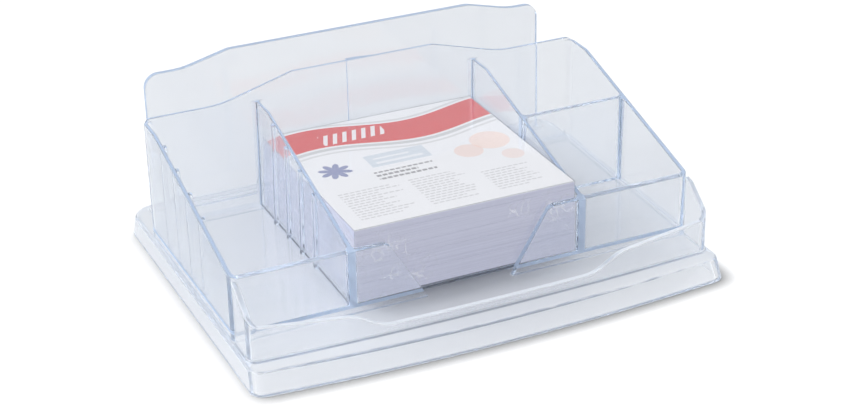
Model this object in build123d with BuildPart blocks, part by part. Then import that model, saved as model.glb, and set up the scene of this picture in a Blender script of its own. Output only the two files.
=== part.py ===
from build123d import *

# Clear desk organizer with a wrapped memo pack: a flared plinth with a pen tray, a compartment unit
# and a letter panel. Frame: millimetres, +Z up, +X right, +Y to the back, origin on the table under
# the middle of the plinth.

import math
import os

os.makedirs("parts", exist_ok=True)

# ---- driving dimensions: plinth ----
plinth_width = 182.4
back_margin = 6.9
plinth_height = 8.0
front_bow = 4.8
front_corner_radius = 5.0
back_corner_radius = 10.0
front_flare = 3.3
side_flare = 0.8
back_flare = 1.1
skirt_wall = 2.2
deck_thickness = 2.2
ledge_rounding = 1.2

# ---- driving dimensions: compartment unit ----
unit_width = 177.8
unit_setback = 28.8
outer_wall = 2.2
front_wall = 2.4
rear_wall = 2.2
divider_thickness = 2.7
floor_thickness = 1.5
foot_height = 2.0
foot_wall = 2.4
unit_corner_radius = 3.5
well_corner_radius = 1.2
memo_corner_radius = 0.8
draft_angle = 1.0
cross_wall = 2.6
cross_wall_offset = 46.0
side_top = 54.0
front_top = 32.3
crest_bend = 13.6

# ---- driving dimensions: crest of the rear wall ----
shoulder_top = 54.9
crown_top = 62.9
crown_centre = -1.2
crown_half_width = 28.9
crown_foot_half_width = 57.8
crown_bend_radius = 5.0
crown_foot_radius = 40.0
crest_end_radius = 3.0

# ---- driving dimensions: finger notch ----
notch_half_top = 31.1
notch_half_bottom = 16.5
notch_shoulder_radius = 4.0
notch_reach = 3.0

# ---- driving dimensions: guide ribs ----
rib_count = 4
rib_pitch = 13.0
rib_start = 31.0
rib_width = 1.8
rib_height = 1.2
rib_root = 1.0

# ---- driving dimensions: stiffening strip behind the rear wall, fading out to the right ----
strip_width = 11.6
strip_thickness = 1.4
strip_fade = 8.0
strip_centre = -1.8

# ---- driving dimensions: pen tray ----
tray_wall = 2.0
tray_inset = 0.2
tray_depth = 14.7
tray_bow = 2.9
tray_corner_radius = 3.6
tray_back_top = 32.1
tray_bend_run = 3.2
tray_bend_top = 31.1
tray_corner_top = 25.0
tray_corner_middle = 22.8
tray_corner_front = 20.8
tray_shoulder_top = 17.7
tray_middle_top = 11.4
tray_dip_half_width = 36.5
tray_dip_foot = 54.0
tray_foot_chamfer = 0.8
tray_joint_gap = 0.15

# ---- driving dimensions: letter panel and its rail ----
slot_width = 15.6
panel_thickness = 2.6
panel_width = 164.0
panel_shoulder_top = 64.4
panel_crown_top = 69.0
panel_crown_centre = 1.2
panel_crown_half_width = 49.8
panel_shoulder_length = 13.7
panel_bend_radius = 8.0
panel_foot_radius = 30.0
panel_end_radius = 5.5
rail_lip = 1.6
rail_height = 0.9
rail_groove = 1.2
rail_clearance = 0.1

# ---- driving dimensions: memo pack ----
sheet_size = 85.0
sheet_stack = 26.8
lift_count = 12
lift_stagger = 0.1
lift_turn = 137.5
card_thickness = 0.4
card_margin = 0.2
film_thickness = 0.1
film_clearance = 0.05
pack_side_clearance = 0.55
pack_end_clearance = 0.25

# ---- edge rounding and cutting margins ----
edge_rounding = 0.5
overcut = 1.0

# ---- places that follow from the dimensions ----
pack_width = sheet_size + 2 * (lift_stagger + film_clearance + film_thickness)
memo_depth = pack_width + 2 * pack_end_clearance
memo_width = pack_width + 2 * pack_side_clearance
unit_depth = front_wall + memo_depth + rear_wall
plinth_depth = unit_setback + unit_depth + slot_width + panel_thickness + back_margin
front_y = -plinth_depth / 2
back_y = plinth_depth / 2
unit_front = front_y + unit_setback
well_front = unit_front + front_wall
well_back = well_front + memo_depth
unit_back = well_back + rear_wall
unit_middle = (unit_front + unit_back) / 2
well_middle = (well_front + well_back) / 2
unit_half = unit_width / 2
strip_left = strip_centre - strip_width / 2
strip_right = strip_centre + strip_width / 2
foot_z = plinth_height
floor_z = foot_z + foot_height + floor_thickness
top_z = crown_top + overcut
draft_run = (side_top - floor_z) * math.tan(math.radians(draft_angle))
divider_outer = memo_width / 2 + divider_thickness
side_well_width = unit_half - outer_wall - divider_outer
side_well_middle = divider_outer + side_well_width / 2
cross_front = unit_front + cross_wall_offset
cross_back = cross_front + cross_wall
bend_y = unit_back - crest_bend
crest_front_y = well_back + draft_run
crest_lean = (top_z + overcut - side_top) * math.tan(math.radians(draft_angle))
tray_half = unit_half - tray_inset
tray_end_y = unit_front - tray_depth
tray_corner_x = tray_half - tray_corner_radius
tray_corner_y = tray_end_y + tray_corner_radius
panel_front = unit_back + slot_width
panel_back = panel_front + panel_thickness
panel_bottom = plinth_height - rail_groove
panel_half = panel_width / 2
panel_crown_foot = panel_half - panel_shoulder_length
notch_slope = (notch_half_top - notch_half_bottom) / (front_top - foot_z)
notch_mouth_z = front_top + notch_reach
notch_mouth_half = notch_half_top + notch_slope * notch_reach
film_bottom = floor_z
sheet_bottom = film_bottom + film_thickness
card_bottom = sheet_bottom + sheet_stack
film_inner_top = card_bottom + card_thickness + film_clearance
film_top = film_inner_top + film_thickness


def bowed_outline(half, front, back, bow, front_radius, back_radius):
    """Face in plan with straight sides and back, a front bowed outwards and rounded corners."""
    with BuildSketch() as outline:
        with BuildLine():
            ThreePointArc((-half, front + bow), (0, front), (half, front + bow))
            Polyline((half, front + bow), (half, back), (-half, back), (-half, front + bow))
        make_face()
        fillet(outline.vertices().sort_by(Axis.Y)[:2], front_radius)
        fillet(outline.vertices().sort_by(Axis.Y)[-2:], back_radius)
    return outline.sketch


def crested_outline(
    half,
    bottom,
    shoulder,
    crown,
    centre,
    crown_half,
    foot_half,
    crown_radius,
    foot_radius,
    end_radius,
):
    """Upright face with level shoulders and a raised crown: wide bends at its feet, tight on top."""
    with BuildSketch() as outline:
        Polygon(
            (-half, bottom),
            (half, bottom),
            (half, shoulder),
            (centre + foot_half, shoulder),
            (centre + crown_half, crown),
            (centre - crown_half, crown),
            (centre - foot_half, shoulder),
            (-half, shoulder),
            align=None,
        )
        fillet(outline.vertices().group_by(Axis.Y)[1].sort_by(Axis.X)[1:3], foot_radius)
        fillet(outline.vertices().group_by(Axis.Y)[-1], crown_radius)
        ends = outline.vertices().sort_by(Axis.X)
        fillet([ends[:2].sort_by(Axis.Y)[-1], ends[-2:].sort_by(Axis.Y)[-1]], end_radius)
    return outline.sketch


# ---- flared skirt, deck and rail for the letter panel ----
with BuildPart() as plinth_shell:
    with BuildSketch() as foot_outline:
        add(
            bowed_outline(
                plinth_width / 2,
                front_y,
                back_y,
                front_bow,
                front_corner_radius,
                back_corner_radius,
            )
        )
    with BuildSketch(Plane.XY.offset(plinth_height)) as ledge_outline:
        add(
            bowed_outline(
                plinth_width / 2 - side_flare,
                front_y + front_flare,
                back_y - back_flare,
                front_bow,
                front_corner_radius,
                back_corner_radius,
            )
        )
    loft(ruled=True)
    fillet(plinth_shell.faces().sort_by(Axis.Z)[-1].edges(), ledge_rounding)

    # hollow underside
    with BuildSketch():
        add(
            bowed_outline(
                plinth_width / 2 - skirt_wall,
                front_y + skirt_wall,
                back_y - skirt_wall,
                front_bow,
                front_corner_radius - skirt_wall,
                back_corner_radius - skirt_wall,
            )
        )
    with BuildSketch(Plane.XY.offset(plinth_height - deck_thickness)):
        add(
            bowed_outline(
                plinth_width / 2 - side_flare - skirt_wall,
                front_y + front_flare + skirt_wall,
                back_y - back_flare - skirt_wall,
                front_bow,
                front_corner_radius - skirt_wall,
                back_corner_radius - skirt_wall,
            )
        )
    loft(ruled=True, mode=Mode.SUBTRACT)

    # rail lips and groove for the letter panel
    with BuildSketch(Plane.XY.offset(plinth_height)):
        with Locations((0, (panel_front + panel_back) / 2)):
            Rectangle(panel_width + 2 * rail_lip, panel_thickness + 2 * (rail_lip + rail_clearance))
    extrude(amount=rail_height)
    with BuildSketch(Plane.XY.offset(panel_bottom)):
        with Locations((0, (panel_front + panel_back) / 2)):
            Rectangle(panel_width + 2 * rail_clearance, panel_thickness + 2 * rail_clearance)
    extrude(amount=rail_groove + rail_height, mode=Mode.SUBTRACT)

# ---- pen tray rim, shaped on its own and then joined to the deck ----
with BuildPart() as tray_rim:
    with BuildSketch(Plane.XY.offset(plinth_height)):
        add(
            bowed_outline(
                tray_half,
                tray_end_y - tray_bow,
                unit_front + tray_depth,
                tray_bow,
                tray_corner_radius,
                tray_wall,
            )
        )
        add(
            bowed_outline(
                tray_half - tray_wall,
                tray_end_y - tray_bow + tray_wall,
                unit_front + 2 * tray_depth,
                tray_bow,
                tray_corner_radius - tray_wall,
                tray_wall,
            ),
            mode=Mode.SUBTRACT,
        )
        with Locations((0, unit_front - tray_joint_gap)):
            Rectangle(
                unit_width,
                3 * tray_depth,
                align=(Align.CENTER, Align.MIN),
                mode=Mode.SUBTRACT,
            )
    extrude(amount=tray_back_top - plinth_height)

    # falling tops of the side walls
    with BuildSketch(Plane.YZ.offset(-unit_half)):
        with BuildLine():
            Polyline(
                (tray_corner_y, tray_corner_top),
                (tray_corner_y, side_top),
                (unit_front, side_top),
                (unit_front, tray_back_top),
                (unit_front - tray_bend_run, tray_bend_top),
                close=True,
            )
        make_face()
    extrude(amount=unit_width, mode=Mode.SUBTRACT)

    # dipping top of the front wall
    with BuildSketch(Plane.XZ.offset(-tray_corner_y)):
        with BuildLine():
            Polyline(
                (-tray_corner_x, tray_corner_front),
                (-tray_corner_x, side_top),
                (tray_corner_x, side_top),
                (tray_corner_x, tray_corner_front),
            )
            Line((tray_corner_x, tray_corner_front), (tray_dip_foot, tray_shoulder_top))
            Spline(
                (tray_dip_foot, tray_shoulder_top),
                (tray_dip_half_width, tray_middle_top),
                tangents=[
                    (tray_dip_foot - tray_corner_x, tray_shoulder_top - tray_corner_front),
                    (-1, 0),
                ],
            )
            Line((tray_dip_half_width, tray_middle_top), (-tray_dip_half_width, tray_middle_top))
            Spline(
                (-tray_dip_half_width, tray_middle_top),
                (-tray_dip_foot, tray_shoulder_top),
                tangents=[
                    (-1, 0),
                    (tray_dip_foot - tray_corner_x, tray_corner_front - tray_shoulder_top),
                ],
            )
            Line((-tray_dip_foot, tray_shoulder_top), (-tray_corner_x, tray_corner_front))
        make_face()
    extrude(amount=tray_depth, mode=Mode.SUBTRACT)

    # tops of the two rounded corners, falling from the side walls to the front wall
    for side in (-1, 1):
        corner_cuts = []
        tops = ((0, tray_corner_top), (45, tray_corner_middle), (90, tray_corner_front))
        for turn, height in tops:
            angle = math.radians(turn)
            reach = Vector(side * math.cos(angle), -math.sin(angle), 0)
            corner = Vector(side * tray_corner_x, tray_corner_y, 0)
            across = reach.cross(Vector(0, 0, 1))
            with BuildSketch(Plane(origin=corner, x_dir=reach, z_dir=across)) as radial:
                with Locations((tray_corner_radius - tray_wall / 2, height)):
                    Rectangle(tray_wall + 2 * overcut, side_top, align=(Align.CENTER, Align.MIN))
            corner_cuts.append(radial.sketch.faces()[0])
        loft(corner_cuts, mode=Mode.SUBTRACT)

# ---- chamfer along the outer foot of the tray rim ----
with BuildPart() as tray_foot:
    with BuildSketch(Plane.XY.offset(plinth_height)):
        add(
            bowed_outline(
                tray_half + tray_foot_chamfer,
                tray_end_y - tray_bow - tray_foot_chamfer,
                unit_front + tray_depth,
                tray_bow,
                tray_corner_radius + tray_foot_chamfer,
                tray_wall,
            )
        )
    extrude(amount=tray_foot_chamfer, taper=45)
    with BuildSketch(Plane.XY.offset(plinth_height)):
        add(
            bowed_outline(
                tray_half - tray_wall,
                tray_end_y - tray_bow + tray_wall,
                unit_front + 2 * tray_depth,
                tray_bow,
                tray_corner_radius - tray_wall,
                tray_wall,
            )
        )
        with Locations((0, unit_front - tray_joint_gap)):
            Rectangle(plinth_width, 3 * tray_depth, align=(Align.CENTER, Align.MIN))
    extrude(amount=tray_foot_chamfer, mode=Mode.SUBTRACT)

# ---- base plinth: skirt, deck, rail and tray rim as one moulding ----
with BuildPart() as base_plinth:
    add(plinth_shell.part)
    add(tray_rim.part)
    add(tray_foot.part)

# ---- compartment unit: outer walls, floor, dividers, cross walls, crested rear wall ----
with BuildPart() as compartment_unit:
    with BuildSketch(Plane.XY.offset(foot_z)):
        with Locations((0, unit_middle)):
            RectangleRounded(unit_width, unit_depth, unit_corner_radius)
    extrude(amount=top_z - foot_z)

    # stiffening strip behind the rear wall
    with BuildSketch(Plane.XY.offset(foot_z)):
        with BuildLine():
            Polyline(
                (strip_left, unit_back - strip_thickness),
                (strip_left, unit_back + strip_thickness),
                (strip_right - strip_fade, unit_back + strip_thickness),
                (strip_right, unit_back),
                (strip_right, unit_back - strip_thickness),
                close=True,
            )
        make_face()
    extrude(amount=top_z - foot_z)

    # recess under the floor
    with BuildSketch(Plane.XY.offset(foot_z)):
        with Locations((0, unit_middle)):
            RectangleRounded(
                unit_width - 2 * foot_wall,
                unit_depth - 2 * foot_wall,
                well_corner_radius,
            )
    extrude(amount=foot_height, mode=Mode.SUBTRACT)

    # wells, opening slightly towards the top
    with BuildSketch(Plane.XY.offset(floor_z)):
        with Locations((0, well_middle)):
            RectangleRounded(memo_width, memo_depth, memo_corner_radius)
    extrude(amount=top_z - floor_z, taper=-draft_angle, mode=Mode.SUBTRACT)
    with BuildSketch(Plane.XY.offset(floor_z)):
        with Locations((-side_well_middle, well_middle)):
            RectangleRounded(side_well_width, memo_depth, well_corner_radius)
    extrude(amount=top_z - floor_z, taper=-draft_angle, mode=Mode.SUBTRACT)
    with BuildSketch(Plane.XY.offset(floor_z)):
        with Locations((side_well_middle, (well_front + cross_front) / 2)):
            RectangleRounded(side_well_width, cross_front - well_front, well_corner_radius)
    extrude(amount=top_z - floor_z, taper=-draft_angle, mode=Mode.SUBTRACT)
    with BuildSketch(Plane.XY.offset(floor_z)):
        with Locations((side_well_middle, (cross_back + well_back) / 2)):
            RectangleRounded(side_well_width, well_back - cross_back, well_corner_radius)
    extrude(amount=top_z - floor_z, taper=-draft_angle, mode=Mode.SUBTRACT)

    # guide ribs on both walls of the long compartment, leaning with the walls
    for face_x, inward in ((outer_wall - unit_half, 1), (-divider_outer, -1)):
        rib_x = face_x + inward * (rib_height - rib_root) / 2
        lean = Vector(-inward * math.tan(math.radians(draft_angle)), 0, 1)
        with BuildSketch(Plane.XY.offset(floor_z)):
            for index in range(rib_count):
                with Locations((rib_x, unit_front + rib_start + index * rib_pitch)):
                    Rectangle(rib_height + rib_root, rib_width)
        extrude(amount=top_z - floor_z, dir=lean)

    # sloping tops in front of the rear wall
    with BuildSketch(Plane.YZ.offset(-unit_half - overcut)):
        with BuildLine():
            Polyline(
                (unit_front - overcut, front_top),
                (unit_front, front_top),
                (bend_y, side_top),
                (crest_front_y, side_top),
                (crest_front_y + crest_lean, top_z + overcut),
                (unit_front - overcut, top_z + overcut),
                close=True,
            )
        make_face()
    extrude(amount=unit_width + 2 * overcut, mode=Mode.SUBTRACT)

    # crest of the rear wall
    with BuildSketch(Plane.XZ.offset(-unit_back - strip_thickness - overcut)):
        with Locations((0, floor_z)):
            Rectangle(
                unit_width + 2 * overcut,
                top_z + overcut - floor_z,
                align=(Align.CENTER, Align.MIN),
            )
        add(
            crested_outline(
                unit_half,
                floor_z - overcut,
                shoulder_top,
                crown_top,
                crown_centre,
                crown_half_width,
                crown_foot_half_width,
                crown_bend_radius,
                crown_foot_radius,
                crest_end_radius,
            ),
            mode=Mode.SUBTRACT,
        )
    extrude(amount=unit_back + strip_thickness + overcut - crest_front_y, mode=Mode.SUBTRACT)

    # finger notch through the front wall and the front edge of the floor
    with BuildSketch(Plane.XZ.offset(-well_front)):
        Polygon(
            (-notch_half_bottom, foot_z),
            (notch_half_bottom, foot_z),
            (notch_mouth_half, notch_mouth_z),
            (-notch_mouth_half, notch_mouth_z),
            align=None,
        )
    extrude(amount=front_wall + overcut, mode=Mode.SUBTRACT)
    notch_mouth = [
        edge
        for edge in compartment_unit.edges()
        if abs(abs(edge.center().X) - notch_half_top) < overcut
        and edge.center().Y < well_front
        and edge.center().Z > front_top - overcut
        and edge.bounding_box().size.Y > front_wall / 2
    ]
    fillet(notch_mouth, notch_shoulder_radius)

# ---- letter panel, standing in its rail ----
with BuildPart() as letter_panel:
    with BuildSketch(Plane.XZ.offset(-panel_back)):
        add(
            crested_outline(
                panel_half,
                panel_bottom,
                panel_shoulder_top,
                panel_crown_top,
                panel_crown_centre,
                panel_crown_half_width,
                panel_crown_foot,
                panel_bend_radius,
                panel_foot_radius,
                panel_end_radius,
            )
        )
    extrude(amount=panel_thickness)
    panel_edges = [
        edge
        for edge in letter_panel.edges()
        if edge.center().Z > panel_bottom + overcut
        and edge.bounding_box().size.Y < edge_rounding
    ]
    fillet(panel_edges, edge_rounding)

# ---- memo pack: sheets in lifts, cover card and clear film ----
lift_height = sheet_stack / lift_count
with BuildPart() as memo_block:
    for index in range(lift_count):
        turn = math.radians(lift_turn * index)
        shift_x = lift_stagger * math.cos(turn)
        shift_y = lift_stagger * math.sin(turn)
        with Locations((shift_x, well_middle + shift_y, sheet_bottom + index * lift_height)):
            Box(sheet_size, sheet_size, lift_height, align=(Align.CENTER, Align.CENTER, Align.MIN))

with BuildPart() as cover_card:
    with Locations((0, well_middle, card_bottom)):
        Box(
            sheet_size - 2 * card_margin,
            sheet_size - 2 * card_margin,
            card_thickness,
            align=(Align.CENTER, Align.CENTER, Align.MIN),
        )

with BuildPart() as block_wrap:
    with Locations((0, well_middle, film_bottom)):
        Box(
            pack_width,
            pack_width,
            film_top - film_bottom,
            align=(Align.CENTER, Align.CENTER, Align.MIN),
        )
    with Locations((0, well_middle, sheet_bottom)):
        Box(
            pack_width - 2 * film_thickness,
            pack_width - 2 * film_thickness,
            film_inner_top - sheet_bottom,
            align=(Align.CENTER, Align.CENTER, Align.MIN),
            mode=Mode.SUBTRACT,
        )

# ---- labels and files ----
base_plinth.part.label = "base_plinth"
compartment_unit.part.label = "compartment_unit"
letter_panel.part.label = "letter_panel"
memo_block.part.label = "memo_block"
cover_card.part.label = "cover_card"
block_wrap.part.label = "block_wrap"

export_step(base_plinth.part, "parts/base_plinth.step")
export_step(compartment_unit.part, "parts/compartment_unit.step")
export_step(letter_panel.part, "parts/letter_panel.step")
export_step(memo_block.part, "parts/memo_block.step")
export_step(cover_card.part, "parts/cover_card.step")
export_step(block_wrap.part, "parts/block_wrap.step")
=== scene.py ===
import math

import bmesh
import bpy
from mathutils import Matrix, Vector
from mathutils.bvhtree import BVHTree


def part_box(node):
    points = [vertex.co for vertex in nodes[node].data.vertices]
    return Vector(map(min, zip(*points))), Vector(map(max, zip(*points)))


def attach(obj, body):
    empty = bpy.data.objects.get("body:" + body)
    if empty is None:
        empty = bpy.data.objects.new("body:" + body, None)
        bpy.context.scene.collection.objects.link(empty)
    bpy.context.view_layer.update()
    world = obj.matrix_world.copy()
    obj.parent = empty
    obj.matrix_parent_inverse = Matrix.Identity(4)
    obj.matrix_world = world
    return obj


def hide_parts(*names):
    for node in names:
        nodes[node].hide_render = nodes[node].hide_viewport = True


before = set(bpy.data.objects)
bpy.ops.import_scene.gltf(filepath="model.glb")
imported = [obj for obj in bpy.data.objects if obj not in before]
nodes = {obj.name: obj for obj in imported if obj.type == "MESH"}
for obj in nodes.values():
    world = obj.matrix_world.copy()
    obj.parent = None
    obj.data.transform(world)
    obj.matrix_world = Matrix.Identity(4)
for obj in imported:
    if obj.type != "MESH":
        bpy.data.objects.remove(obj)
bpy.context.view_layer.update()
scene = bpy.context.scene

# ---- camera -------------------------------------------------------------------------------------
IMAGE_WIDTH = 854
SENSOR_WIDTH = 36.0
FOCAL_PIXELS = 1957.74
CAMERA_YAW = 0.4271
CAMERA_PITCH = 0.4653
CAMERA_ROLL = -0.0195
CAMERA_PLACE = Vector((-0.26468, -0.58863, 0.34475))
CAMERA_NEAR = 0.01
CAMERA_FAR = 50.0


def add_camera():
    """Camera at the photograph's viewing angle, with no shift."""
    forward = Vector((
        math.sin(CAMERA_YAW) * math.cos(CAMERA_PITCH),
        math.cos(CAMERA_YAW) * math.cos(CAMERA_PITCH),
        -math.sin(CAMERA_PITCH),
    ))
    level = Vector((math.cos(CAMERA_YAW), -math.sin(CAMERA_YAW), 0.0))
    upright = level.cross(forward)
    right = math.cos(CAMERA_ROLL) * level + math.sin(CAMERA_ROLL) * upright
    up = -math.sin(CAMERA_ROLL) * level + math.cos(CAMERA_ROLL) * upright
    data = bpy.data.cameras.new("photo_camera")
    data.sensor_width = SENSOR_WIDTH
    data.lens = FOCAL_PIXELS * SENSOR_WIDTH / IMAGE_WIDTH
    data.clip_start = CAMERA_NEAR
    data.clip_end = CAMERA_FAR
    camera = bpy.data.objects.new("photo_camera", data)
    axes = Matrix((right, up, -forward)).transposed().to_4x4()
    camera.matrix_world = Matrix.Translation(CAMERA_PLACE) @ axes
    scene.collection.objects.link(camera)
    scene.camera = camera


# ---- node helpers -------------------------------------------------------------------------------
def new_material(name):
    material = bpy.data.materials.new(name)
    material.use_nodes = True
    material.node_tree.nodes.clear()
    return material, material.node_tree


def set_slot(obj, material):
    obj.data.materials.clear()
    obj.data.materials.append(material)


def make(tree, kind, inputs=None, **settings):
    """A node with its settings and its linked or plain inputs."""
    node = tree.nodes.new(kind)
    for key, value in settings.items():
        setattr(node, key, value)
    for key, value in (inputs or {}).items():
        socket = node.inputs[key]
        if isinstance(value, bpy.types.NodeSocket):
            tree.links.new(value, socket)
        else:
            socket.default_value = value
    return node


def math_node(tree, operation, first, second=0.0, third=0.0):
    inputs = {0: first, 1: second, 2: third}
    return make(tree, "ShaderNodeMath", inputs, operation=operation).outputs[0]


def mix_value(tree, factor, first, second):
    return make(tree, "ShaderNodeMix", {0: factor, 2: first, 3: second}).outputs[0]


def mix_color(tree, factor, first, second):
    inputs = {0: factor, 6: first, 7: second}
    return make(tree, "ShaderNodeMix", inputs, data_type="RGBA").outputs[2]


def mix_shader(tree, factor, first, second):
    return make(tree, "ShaderNodeMixShader", {0: factor, 1: first, 2: second}).outputs[0]


def remap(tree, value, low, high, to_low=0.0, to_high=1.0, curve="LINEAR"):
    inputs = {
        "Value": value,
        "From Min": low,
        "From Max": high,
        "To Min": to_low,
        "To Max": to_high,
    }
    node = make(tree, "ShaderNodeMapRange", inputs, interpolation_type=curve)
    return node.outputs["Result"]


def noise(tree, vector, scale, detail, roughness=0.5):
    inputs = {"Vector": vector, "Scale": scale, "Detail": detail, "Roughness": roughness}
    return make(tree, "ShaderNodeTexNoise", inputs)


def bump(tree, height, strength, distance):
    inputs = {"Height": height, "Strength": strength, "Distance": distance}
    return make(tree, "ShaderNodeBump", inputs).outputs["Normal"]


def axis_share(tree, vector, axis):
    return make(tree, "ShaderNodeSeparateXYZ", {0: vector}).outputs[axis]


def object_place(tree):
    return make(tree, "ShaderNodeTexCoord").outputs["Object"]


def letting_light_through(tree, body, veil_tone):
    """The body for the eye and mirrors; shadow and diffuse rays pass through, a little tinted."""
    path = make(tree, "ShaderNodeLightPath")
    veil = make(tree, "ShaderNodeBsdfTransparent", {"Color": veil_tone}).outputs[0]
    clear = mix_shader(tree, path.outputs["Is Diffuse Ray"], body, veil)
    return mix_shader(tree, path.outputs["Is Shadow Ray"], clear, veil)


# ---- clear moulded plastic ----------------------------------------------------------------------
PLASTIC_IOR = 1.57
PLASTIC_BASE = (0.996, 0.997, 0.998, 1.0)
PLASTIC_TINT = (0.72, 0.84, 0.97, 1.0)
PLASTIC_DENSITY = 12.0
FLAT_VEIL = (0.995, 0.996, 0.998, 1.0)
WALL_VEIL = (0.985, 0.987, 0.991, 1.0)
RIPPLE_SCALE = 38.0
RIPPLE_STRENGTH = 0.08
RIPPLE_HEIGHT = 0.0006
WEAR_SCALE = 90.0
WEAR_RANGE = (0.35, 0.75)
WEAR_ROUGHNESS = 0.04
INNER_TONE = (0.62, 0.745, 0.93, 1.0)
INNER_HAZE = 0.045
# milk share from inside on the rounded edge strips and the faces seen end on, as painted highlight
# and painted light
INNER_PAINTED_LIGHT_SHARE = 0.20
FACE_GLOW = 0.5
EDGE_GLOW = 0.2
# in each look, the arris values paint a pale highlight on the rounded edge strips, and the edge
# values paint light on faces seen end on, in place of light carried along inside the walls
UNIT_LOOK = {
    "roughness": 0.05,
    "wall_haze": 0.045,
    "flat_haze": 0.16,
    "face_tone": (0.80, 0.815, 0.855, 1.0),
    "arris_highlight_share": 0.22,
    "arris_highlight_tone": (0.80, 0.83, 0.88, 1.0),
    "edge_piped_light_share": 0.75,
    "edge_piped_light_tone": (0.47, 0.56, 0.71, 1.0),
}
PLINTH_LOOK = {
    "roughness": 0.07,
    "wall_haze": 0.20,
    "flat_haze": 0.34,
    "face_tone": (0.84, 0.85, 0.875, 1.0),
    "arris_highlight_share": 0.55,
    "arris_highlight_tone": (0.93, 0.94, 0.96, 1.0),
    "edge_piped_light_share": 0.50,
    "edge_piped_light_tone": (0.78, 0.81, 0.87, 1.0),
}
# names of the float values that each face carries for the plastic
END_ON = "seen_end_on"
ARRIS = "rounded_arris"


def plastic_surface(tree, outside, roughness):
    """The refracting surface, rippled and a little worn on the outside."""
    place = object_place(tree)
    ripple = noise(tree, place, RIPPLE_SCALE, detail=2.0, roughness=0.45).outputs["Fac"]
    wear = noise(tree, place, WEAR_SCALE, detail=4.0, roughness=0.6).outputs["Fac"]
    rough = remap(tree, wear, *WEAR_RANGE, roughness, roughness + WEAR_ROUGHNESS)
    strength = math_node(tree, "MULTIPLY", outside, RIPPLE_STRENGTH)
    inputs = {
        "Base Color": PLASTIC_BASE,
        "Roughness": math_node(tree, "MULTIPLY", rough, outside),
        "IOR": PLASTIC_IOR,
        "Transmission Weight": 1.0,
        "Normal": bump(tree, ripple, strength, RIPPLE_HEIGHT),
    }
    return make(tree, "ShaderNodeBsdfPrincipled", inputs).outputs[0]


def clear_plastic(name, look):
    """Clear polystyrene: faintly blue in depth and a little milky; the milk on faces seen end on is
    painted light, in place of light carried along inside the walls, and the rounded edge strips
    carry a painted highlight.
    """
    material, tree = new_material(name)
    geometry = make(tree, "ShaderNodeNewGeometry")
    outside = math_node(tree, "SUBTRACT", 1.0, geometry.outputs["Backfacing"])
    level = math_node(tree, "ABSOLUTE", axis_share(tree, geometry.outputs["Normal"], 2))
    end_on = make(tree, "ShaderNodeAttribute", attribute_name=END_ON).outputs["Fac"]
    arris = make(tree, "ShaderNodeAttribute", attribute_name=ARRIS).outputs["Fac"]

    more_when_level = look["flat_haze"] - look["wall_haze"]
    face_haze = math_node(tree, "MULTIPLY_ADD", level, more_when_level, look["wall_haze"])
    # painted highlight: the rounded edge strips take a pale milk
    haze_and_rim_highlight = mix_value(tree, arris, face_haze, look["arris_highlight_share"])
    # painted light: faces seen end on take a milk that stands in for light carried along inside the
    # walls
    outer_haze_and_painted_light = mix_value(tree, end_on, haze_and_rim_highlight, look["edge_piped_light_share"])
    painted_light_strips = math_node(tree, "MAXIMUM", arris, end_on)
    inner_haze_and_painted_light = mix_value(tree, painted_light_strips, INNER_HAZE, INNER_PAINTED_LIGHT_SHARE)
    share = mix_value(tree, outside, inner_haze_and_painted_light, outer_haze_and_painted_light)

    # the milk's tone carries the same painted highlight and painted light
    haze_and_rim_highlight_tone = mix_color(tree, arris, look["face_tone"], look["arris_highlight_tone"])
    outer_haze_and_painted_light_tone = mix_color(tree, end_on, haze_and_rim_highlight_tone, look["edge_piped_light_tone"])
    inner_haze_and_highlight_tone = mix_color(tree, arris, INNER_TONE, look["arris_highlight_tone"])
    tone = mix_color(tree, outside, inner_haze_and_highlight_tone, outer_haze_and_painted_light_tone)
    milk_and_painted_light = make(tree, "ShaderNodeBsdfDiffuse", {"Color": tone}).outputs[0]
    glow = make(tree, "ShaderNodeBsdfTranslucent", {"Color": tone}).outputs[0]
    haze_and_painted_light = mix_shader(tree, mix_value(tree, end_on, FACE_GLOW, EDGE_GLOW), milk_and_painted_light, glow)

    surface = plastic_surface(tree, outside, look["roughness"])
    body = mix_shader(tree, share, surface, haze_and_painted_light)
    through = letting_light_through(tree, body, mix_color(tree, level, WALL_VEIL, FLAT_VEIL))
    depth = {"Color": PLASTIC_TINT, "Density": PLASTIC_DENSITY}
    absorb = make(tree, "ShaderNodeVolumeAbsorption", depth).outputs[0]
    make(tree, "ShaderNodeOutputMaterial", {"Surface": through, "Volume": absorb})
    return material


# ---- moulded copies of the clear CAD nodes ------------------------------------------------------
WELD = 1e-6
AIR_GAP = 0.00005
UNIT_ROUNDING = 0.0003
PLINTH_ROUNDING = 0.0004
BEVEL_SEGMENTS = 2
BEVEL_PROFILE = 0.5
# a face with more plastic than this behind it is seen end on
EDGE_DEPTH = 0.0052
# edges sharper than this are rounded, and softer ones are shaded smooth
ARRIS_ANGLE = math.radians(40)
SMOOTH_ANGLE = math.radians(40)
NORMAL_WEIGHT = 100
# planes where the compartment unit's walls and floor run into its outer faces, as axis and metres
UNIT_CUTS = (
    (0, -0.0868), (0, -0.0464), (0, -0.0435), (0, 0.0429), (0, 0.0458), (0, 0.0868),
    (1, -0.04105), (1, 0.0027), (1, 0.0050), (1, 0.0452),
    (2, 0.0107), (2, 0.0121), (2, 0.0540),
)


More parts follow.
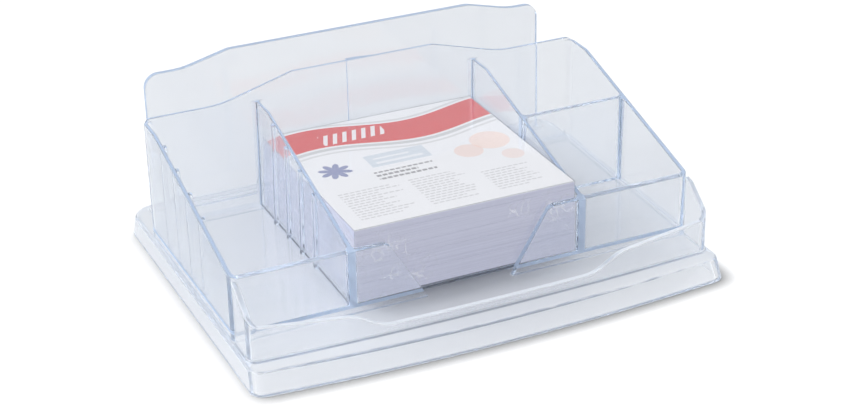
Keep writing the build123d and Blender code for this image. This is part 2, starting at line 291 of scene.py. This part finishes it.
def round_arrises(work, rounding):
    """Rounds the sharp convex edges and marks the strips that this makes."""
    arris = work.faces.layers.float.new(ARRIS)
    if rounding == 0:
        return
    sharp = [
        edge
        for edge in work.edges
        if len(edge.link_faces) == 2 and edge.calc_face_angle_signed(0) > ARRIS_ANGLE
    ]
    strips = bmesh.ops.bevel(
        work,
        geom=sharp,
        offset=rounding,
        offset_type="OFFSET",
        segments=BEVEL_SEGMENTS,
        profile=BEVEL_PROFILE,
        clamp_overlap=False,
        affect="EDGES",
    )["faces"]
    for face in strips:
        face[arris] = 1.0


def settle(work, skin, seat, rounding):
    """Draws stray points back to the CAD skin and leaves a hair of air above the seat."""
    for vert in work.verts:
        place, _, _, distance = skin.find_nearest(vert.co)
        if distance > rounding / 2:
            vert.co = place
        if abs(vert.co.z - seat) < AIR_GAP:
            vert.co.z = seat + AIR_GAP


def shade_smooth(work):
    for face in work.faces:
        face.smooth = True
    for edge in work.edges:
        edge.smooth = len(edge.link_faces) == 2 and edge.calc_face_angle(0) < SMOOTH_ANGLE


def split_faces(work, cuts):
    for axis, place in cuts:
        direction = Vector([float(axis == index) for index in range(3)])
        geom = list(work.verts) + list(work.edges) + list(work.faces)
        bmesh.ops.bisect_plane(
            work, geom=geom, plane_co=direction * place, plane_no=direction, dist=WELD
        )


def mark_end_on(work, skin):
    """Marks the faces that have a wall or floor standing end on behind them."""
    end_on = work.faces.layers.float[END_ON]
    for face in work.faces:
        start = face.calc_center_median() - face.normal * AIR_GAP
        _, _, _, depth = skin.ray_cast(start, -face.normal)
        face[end_on] = float(depth is not None and depth > EDGE_DEPTH)


def dressed(node_name, look, material_name, rounding=0.0, cuts=()):
    """A moulded copy of a CAD node in clear plastic."""
    cad = nodes[node_name].data
    mesh = cad.copy()
    work = bmesh.new()
    work.from_mesh(mesh)
    bmesh.ops.remove_doubles(work, verts=work.verts, dist=WELD)
    work.faces.layers.float.new(END_ON)
    round_arrises(work, rounding)
    skin = BVHTree.FromPolygons(
        [vert.co.copy() for vert in cad.vertices],
        [tuple(polygon.vertices) for polygon in cad.polygons],
    )
    settle(work, skin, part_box(node_name)[0][2], rounding)
    shade_smooth(work)
    split_faces(work, cuts)
    mark_end_on(work, skin)
    mesh.materials.clear()
    mesh.materials.append(clear_plastic(material_name, look))
    work.to_mesh(mesh)
    work.free()
    mesh.name = node_name + "_moulded"
    piece = bpy.data.objects.new(node_name + "_moulded", mesh)
    scene.collection.objects.link(piece)
    weighted = piece.modifiers.new("face_weighted", "WEIGHTED_NORMAL")
    weighted.keep_sharp = True
    weighted.weight = NORMAL_WEIGHT
    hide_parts(node_name)
    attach(piece, "organizer")


dressed(
    "compartment_unit", UNIT_LOOK, "clear_plastic_unit", UNIT_ROUNDING, UNIT_CUTS
)
dressed("base_plinth", PLINTH_LOOK, "clear_plastic_plinth", PLINTH_ROUNDING)
dressed("letter_panel", UNIT_LOOK, "clear_plastic_panel")


# ---- paper sheets -------------------------------------------------------------------------------
PAPER_DARK = (0.475, 0.485, 0.600, 1.0)
PAPER_LIGHT = (0.570, 0.580, 0.695, 1.0)
# stretches that turn noise into level lines: of single sheets, and of lifts of many
SHEET_STRETCH = (9.0, 9.0, 4200.0)
LIFT_STRETCH = (5.0, 5.0, 700.0)
SHEET_SHARE = 0.75
PAPER_CONTRAST = (0.36, 0.64)


def paper_material():
    """A cut stack of paper: fine level lines, slightly uneven from sheet to sheet."""
    material, tree = new_material("paper_edges")
    place = object_place(tree)
    fine = make(tree, "ShaderNodeMapping", {"Vector": place, "Scale": SHEET_STRETCH}).outputs[0]
    sheets = noise(tree, fine, scale=1.0, detail=3.0, roughness=0.6).outputs["Fac"]
    coarse = make(tree, "ShaderNodeMapping", {"Vector": place, "Scale": LIFT_STRETCH}).outputs[0]
    lifts = noise(tree, coarse, scale=1.0, detail=2.0).outputs["Fac"]
    part = math_node(tree, "MULTIPLY", lifts, 1.0 - SHEET_SHARE)
    blend = math_node(tree, "MULTIPLY_ADD", sheets, SHEET_SHARE, part)
    tone = remap(tree, blend, *PAPER_CONTRAST)
    inputs = {
        "Base Color": mix_color(tree, tone, PAPER_DARK, PAPER_LIGHT),
        "Roughness": 0.85,
        "Specular IOR Level": 0.2,
        "Normal": bump(tree, sheets, strength=0.2, distance=0.00015),
    }
    surface = make(tree, "ShaderNodeBsdfPrincipled", inputs).outputs[0]
    make(tree, "ShaderNodeOutputMaterial", {"Surface": surface})
    return material


set_slot(nodes["memo_block"], paper_material())


# ---- printed card -------------------------------------------------------------------------------
CARD_WHITE = (0.80, 0.81, 0.84, 1.0)
CARD_SHADE = (0.775, 0.785, 0.82, 1.0)
GRAIN_SCALE = 900.0
GRAIN_RANGE = (0.3, 0.7)
RED = (0.62, 0.075, 0.08, 1.0)
GREY = (0.47, 0.48, 0.50, 1.0)
PALE_BLUE = (0.53, 0.60, 0.68, 1.0)
WARM = (0.80, 0.50, 0.40, 1.0)
PEACH = (0.84, 0.66, 0.60, 1.0)
BLUE = (0.10, 0.13, 0.34, 1.0)
INK = (0.22, 0.22, 0.24, 1.0)
SOFT_INK = (0.50, 0.50, 0.53, 1.0)
# the waves, strokes and bars are measured in shares of the card
WAVE_SWING = 0.045
WAVE_TURNS = 1.1
WAVE_PHASE = 0.4
STRIPES_PER_CARD = 22.0
STRIPE_SLANT = -9.0
STRIPE_FILL = 0.45
PETALS = 8
PETAL_DEPTH = 0.55
WORDS_PER_CARD = 37.0
WORD_SHIFT = 9.0
WORD_FILL = 0.78
SHORTEST_ROW = 0.55
HEADING_STEP = 0.034
HEADING_FILL = 0.52
TEXT_STEP = 0.0225
TEXT_FILL = 0.40


class Print:
    """Flat printed shapes on the card, in shares of it: u to the right, v to the back."""

    def __init__(self, tree, low, high):
        place = object_place(tree)
        self.tree = tree
        self.u = remap(tree, axis_share(tree, place, 0), low[0], high[0])
        self.v = remap(tree, axis_share(tree, place, 1), low[1], high[1])

    def op(self, operation, first, second=0.0, third=0.0):
        return math_node(self.tree, operation, first, second, third)

    def between(self, value, low, high):
        above = self.op("GREATER_THAN", value, low)
        return self.op("MULTIPLY", above, self.op("LESS_THAN", value, high))

    def block(self, u_low, u_high, v_low, v_high):
        across = self.between(self.u, u_low, u_high)
        return self.op("MULTIPLY", across, self.between(self.v, v_low, v_high))

    def distance(self, u, v):
        across = self.op("SUBTRACT", self.u, u)
        along = self.op("SUBTRACT", self.v, v)
        squares = self.op("MULTIPLY_ADD", across, across, self.op("MULTIPLY", along, along))
        return self.op("SQRT", squares)

    def disc(self, u, v, reach):
        return self.op("LESS_THAN", self.distance(u, v), reach)

    def stripes(self, u_low, u_high, v_low, v_high):
        """A row of short slanting strokes."""
        lean = self.op("MULTIPLY", self.v, STRIPE_SLANT)
        slant = self.op("FRACT", self.op("MULTIPLY_ADD", self.u, STRIPES_PER_CARD, lean))
        row = self.block(u_low, u_high, v_low, v_high)
        return self.op("MULTIPLY", row, self.op("LESS_THAN", slant, STRIPE_FILL))

    def petals(self, u, v, reach):
        """A rosette."""
        across = self.op("SUBTRACT", self.u, u)
        along = self.op("SUBTRACT", self.v, v)
        angle = self.op("ARCTAN2", along, across)
        turns = self.op("MULTIPLY", angle, PETALS / 2)
        lobe = self.op("ABSOLUTE", self.op("SINE", turns))
        heart = (1.0 - PETAL_DEPTH) * reach
        edge = self.op("MULTIPLY_ADD", lobe, PETAL_DEPTH * reach, heart)
        return self.op("LESS_THAN", self.distance(u, v), edge)

    def wave(self, low, high):
        """A band between two heights that rises and falls along u."""
        angle = self.op("MULTIPLY_ADD", self.u, WAVE_TURNS * math.tau, WAVE_PHASE)
        lift = self.op("MULTIPLY", self.op("SINE", angle), WAVE_SWING)
        return self.between(self.op("SUBTRACT", self.v, lift), low, high)

    def bars(self, u_low, u_long, v_low, v_high, step, fill, seed):
        """Rows of plain bars of uneven length that stand for small print."""
        rows = self.op("DIVIDE", self.v, step)
        number = self.op("ADD", self.op("FLOOR", rows), seed)
        random = make(self.tree, "ShaderNodeTexWhiteNoise", {"W": number}, noise_dimensions="1D")
        chance = random.outputs["Value"]
        spread = -(1.0 - SHORTEST_ROW) * (u_long - u_low)
        end = self.op("MULTIPLY_ADD", chance, spread, u_long)
        long_enough = self.between(self.u, u_low, end)
        printed = self.op("LESS_THAN", self.op("FRACT", rows), fill)
        inside = self.op("MULTIPLY", self.between(self.v, v_low, v_high), printed)
        shift = self.op("MULTIPLY", chance, WORD_SHIFT)
        word = self.op("FRACT", self.op("MULTIPLY_ADD", self.u, WORDS_PER_CARD, shift))
        letters = self.op("LESS_THAN", word, WORD_FILL)
        return self.op("MULTIPLY", self.op("MULTIPLY", long_enough, inside), letters)


def card_material():
    """A generic printed cover: waves, slanting strokes, discs, a rosette and plain bars."""
    material, tree = new_material("printed_cover")
    page = Print(tree, *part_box("cover_card"))
    # each row: the shape, its ink and how strongly it covers what is under it
    shapes = (
        (page.wave(0.74, 0.94), RED, 1.0),
        (page.wave(0.700, 0.725), GREY, 0.8),
        (page.wave(0.665, 0.680), GREY, 0.5),
        (page.wave(0.955, 0.970), GREY, 0.6),
        (page.stripes(0.20, 0.50, 0.80, 0.90), CARD_WHITE, 0.9),
        (page.disc(0.87, 0.53, 0.090), PEACH, 0.8),
        (page.disc(0.74, 0.47, 0.065), WARM, 0.45),
        (page.disc(0.90, 0.36, 0.050), WARM, 0.35),
        (page.petals(0.14, 0.54, 0.075), BLUE, 0.8),
        (page.block(0.30, 0.58, 0.50, 0.62), PALE_BLUE, 0.75),
        (page.block(0.33, 0.55, 0.525, 0.545), CARD_WHITE, 0.8),
        (page.block(0.33, 0.50, 0.570, 0.585), CARD_WHITE, 0.8),
        (page.bars(0.28, 0.62, 0.375, 0.455, HEADING_STEP, HEADING_FILL, 3.0), INK, 0.85),
        (page.bars(0.06, 0.33, 0.055, 0.325, TEXT_STEP, TEXT_FILL, 7.0), SOFT_INK, 0.75),
        (page.bars(0.38, 0.64, 0.055, 0.325, TEXT_STEP, TEXT_FILL, 21.0), SOFT_INK, 0.75),
        (page.bars(0.69, 0.93, 0.055, 0.260, TEXT_STEP, TEXT_FILL, 40.0), SOFT_INK, 0.75),
    )
    specks = {"Scale": GRAIN_SCALE, "Detail": 1.0}
    grain = make(tree, "ShaderNodeTexNoise", specks).outputs["Fac"]
    color = mix_color(tree, remap(tree, grain, *GRAIN_RANGE), CARD_WHITE, CARD_SHADE)
    for mask, ink, strength in shapes:
        color = mix_color(tree, math_node(tree, "MULTIPLY", mask, strength), color, ink)
    inputs = {"Base Color": color, "Roughness": 0.22, "Specular IOR Level": 0.5}
    surface = make(tree, "ShaderNodeBsdfPrincipled", inputs).outputs[0]
    make(tree, "ShaderNodeOutputMaterial", {"Surface": surface})
    return material


set_slot(nodes["cover_card"], card_material())


# ---- shrink film --------------------------------------------------------------------------------
FILM_IOR = 1.45
FILM_ROUGHNESS = 0.06
FILM_BASE = (1.0, 1.0, 1.0, 1.0)
FILM_VEIL = (0.985, 0.985, 0.99, 1.0)
# pale tone painted along the folds as their highlight, and how much of it
FOLD_HIGHLIGHT_TONE = (0.9, 0.9, 0.92, 1.0)
FOLD_HIGHLIGHT_SHARE = 0.3
FOLD_WIDTH = 0.09
FOLD_BREAKS = (0.45, 0.6)
CRUMPLE_SCALE = 260.0
CRUMPLE_FULL = 0.1
DRIFT_SCALE = 150.0
DRIFT_PULL = (0.006, 0.006, 0.006)
SLACK_SCALE = 45.0
SLACK_HEIGHT = 0.12
FILM_BUMP = 0.35
FILM_HEIGHT = 0.0008
# where the film is crumpled: centre and reach in metres
FILM_CRUMPLES = (
    ((-0.032, -0.0408, 0.0225), 0.017),
    ((-0.018, -0.0408, 0.0190), 0.008),
    ((0.036, -0.0408, 0.0275), 0.013),
    ((0.020, -0.0408, 0.0330), 0.007),
    ((-0.0427, -0.0300, 0.0250), 0.012),
)


def film_material():
    """Clear shrink film: slack over the faces, crumpled into small folds near a few corners, with a
    painted highlight along the folds.
    """
    material, tree = new_material("clear_shrink_film")
    place = object_place(tree)
    crumple = 0.0
    for centre, reach in FILM_CRUMPLES:
        ends = {0: place, 1: centre}
        away = make(tree, "ShaderNodeVectorMath", ends, operation="DISTANCE").outputs["Value"]
        near = remap(tree, away, CRUMPLE_FULL * reach, reach, 1.0, 0.0, "SMOOTHSTEP")
        crumple = math_node(tree, "MAXIMUM", crumple, near)
    drift = noise(tree, place, DRIFT_SCALE, detail=2.0)
    pull = {0: drift.outputs["Color"], 1: DRIFT_PULL, 2: place}
    pulled = make(tree, "ShaderNodeVectorMath", pull, operation="MULTIPLY_ADD").outputs[0]
    grid = {"Vector": pulled, "Scale": CRUMPLE_SCALE}
    voronoi = make(tree, "ShaderNodeTexVoronoi", grid, feature="DISTANCE_TO_EDGE")
    cells = voronoi.outputs["Distance"]
    slack = noise(tree, place, SLACK_SCALE, detail=2.0).outputs["Fac"]
    crumples = math_node(tree, "MULTIPLY", cells, crumple)
    height = math_node(tree, "MULTIPLY_ADD", slack, SLACK_HEIGHT, crumples)
    inputs = {
        "Base Color": FILM_BASE,
        "Roughness": FILM_ROUGHNESS,
        "IOR": FILM_IOR,
        "Transmission Weight": 1.0,
        "Normal": bump(tree, height, FILM_BUMP, FILM_HEIGHT),
    }
    gloss = make(tree, "ShaderNodeBsdfPrincipled", inputs).outputs[0]
    fold = remap(tree, cells, 0.0, FOLD_WIDTH, 1.0, 0.0)
    broken = remap(tree, drift.outputs["Fac"], *FOLD_BREAKS)
    line = math_node(tree, "MULTIPLY", fold, math_node(tree, "MULTIPLY", crumple, broken))
    # painted highlight: a pale diffuse along the fold lines; the folds themselves come from the
    # bump
    pale = make(tree, "ShaderNodeBsdfDiffuse", {"Color": FOLD_HIGHLIGHT_TONE}).outputs[0]
    film = mix_shader(tree, math_node(tree, "MULTIPLY", line, FOLD_HIGHLIGHT_SHARE), gloss, pale)
    through = letting_light_through(tree, film, FILM_VEIL)
    make(tree, "ShaderNodeOutputMaterial", {"Surface": through})
    return material


set_slot(nodes["block_wrap"], film_material())


# ---- floor, world and lights --------------------------------------------------------------------
FLOOR_HALF = 6.0
FLOOR_SEEN_TONE = (0.90, 0.90, 0.90, 1.0)
FLOOR_LIGHT_TONE = (0.70, 0.712, 0.730, 1.0)
FLOOR_GLOW = 0.015
BLACK = (0.0, 0.0, 0.0, 1.0)
WHITE = (1.0, 1.0, 1.0, 1.0)
# shade where the plinth meets the floor: its reach, its depth and the way the floor is open to;
# the shade is narrow on the side that it is open to, and wide at the front
CONTACT_REACH = 0.0060
CONTACT_DEPTH = 1.4
CONTACT_SAMPLES = 8
CONTACT_LEAN = Vector((-0.42, 0.60, 0.62)).normalized()
SKY_TONE = (0.985, 0.99, 1.0, 1.0)
FILL_STRENGTH = 0.57
# broad soft lights of the studio: direction toward the light, strength and narrowing
SKY_LOBES = (
    (Vector((-0.94, 0.05, 0.34)).normalized(), 1.0, 1.0),
    (Vector((0.85, -0.45, 0.28)).normalized(), 0.33, 2.0),
)


def add_floor():
    """Plain pale floor that shows white and keeps the shadow, deepest where the plinth meets it."""
    data = bpy.data.meshes.new("floor")
    corners = [(x * FLOOR_HALF, y * FLOOR_HALF, 0) for x, y in ((-1, -1), (1, -1), (1, 1), (-1, 1))]
    data.from_pydata(corners, [], [(0, 1, 2, 3)])
    floor = bpy.data.objects.new("floor", data)
    scene.collection.objects.link(floor)
    material, tree = new_material("pale_floor")
    seen = make(tree, "ShaderNodeLightPath").outputs["Is Camera Ray"]
    lean = make(tree, "ShaderNodeCombineXYZ", dict(enumerate(CONTACT_LEAN))).outputs[0]
    inputs = {"Distance": CONTACT_REACH, "Normal": lean}
    contact = make(tree, "ShaderNodeAmbientOcclusion", inputs, samples=CONTACT_SAMPLES)
    open_share = math_node(tree, "POWER", contact.outputs["AO"], CONTACT_DEPTH)
    shown = mix_color(tree, open_share, BLACK, FLOOR_SEEN_TONE)
    color = mix_color(tree, seen, FLOOR_LIGHT_TONE, shown)
    diffuse = make(tree, "ShaderNodeBsdfDiffuse", {"Color": color}).outputs[0]
    strength = math_node(tree, "MULTIPLY", seen, FLOOR_GLOW)
    glow = make(tree, "ShaderNodeEmission", {"Color": WHITE, "Strength": strength}).outputs[0]
    both = make(tree, "ShaderNodeAddShader", {0: diffuse, 1: glow}).outputs[0]
    make(tree, "ShaderNodeOutputMaterial", {"Surface": both})
    set_slot(floor, material)


def add_world():
    world = bpy.data.worlds.new("studio")
    scene.world = world
    world.use_nodes = True
    tree = world.node_tree
    tree.nodes.clear()
    way = make(tree, "ShaderNodeTexCoord").outputs["Generated"]
    strength = FILL_STRENGTH
    for direction, gain, narrowing in SKY_LOBES:
        ends = {0: way, 1: direction}
        toward = make(tree, "ShaderNodeVectorMath", ends, operation="DOT_PRODUCT")
        facing = math_node(tree, "MAXIMUM", toward.outputs["Value"], 0.0)
        lobe = math_node(tree, "POWER", facing, narrowing)
        strength = math_node(tree, "MULTIPLY_ADD", lobe, gain, strength)
    back = make(tree, "ShaderNodeBackground", {"Color": SKY_TONE, "Strength": strength})
    make(tree, "ShaderNodeOutputWorld", {"Surface": back.outputs[0]})


def add_softbox(name, place, target, size, power, mirrored):
    data = bpy.data.lights.new(name, "AREA")
    data.shape = "DISK"
    data.size = size
    data.energy = power
    lamp = bpy.data.objects.new(name, data)
    turn = (Vector(target) - Vector(place)).to_track_quat("-Z", "Y")
    lamp.matrix_world = Matrix.Translation(place) @ turn.to_matrix().to_4x4()
    lamp.visible_glossy = mirrored
    scene.collection.objects.link(lamp)


scene.view_settings.view_transform = "Standard"
scene.cycles.max_bounces = 32
scene.cycles.transmission_bounces = 32
scene.cycles.transparent_max_bounces = 48
scene.cycles.glossy_bounces = 16
scene.cycles.diffuse_bounces = 3

add_camera()
add_floor()
add_world()
add_softbox(
    "softbox_left", place=(-0.9, 0.25, 0.85), target=(0, 0, 0.03), size=0.5, power=5.0,
    mirrored=True,
)
add_softbox(
    "softbox_right", place=(0.42, -0.18, 0.26), target=(0.05, -0.03, 0.0), size=0.35, power=0.32,
    mirrored=False,
)
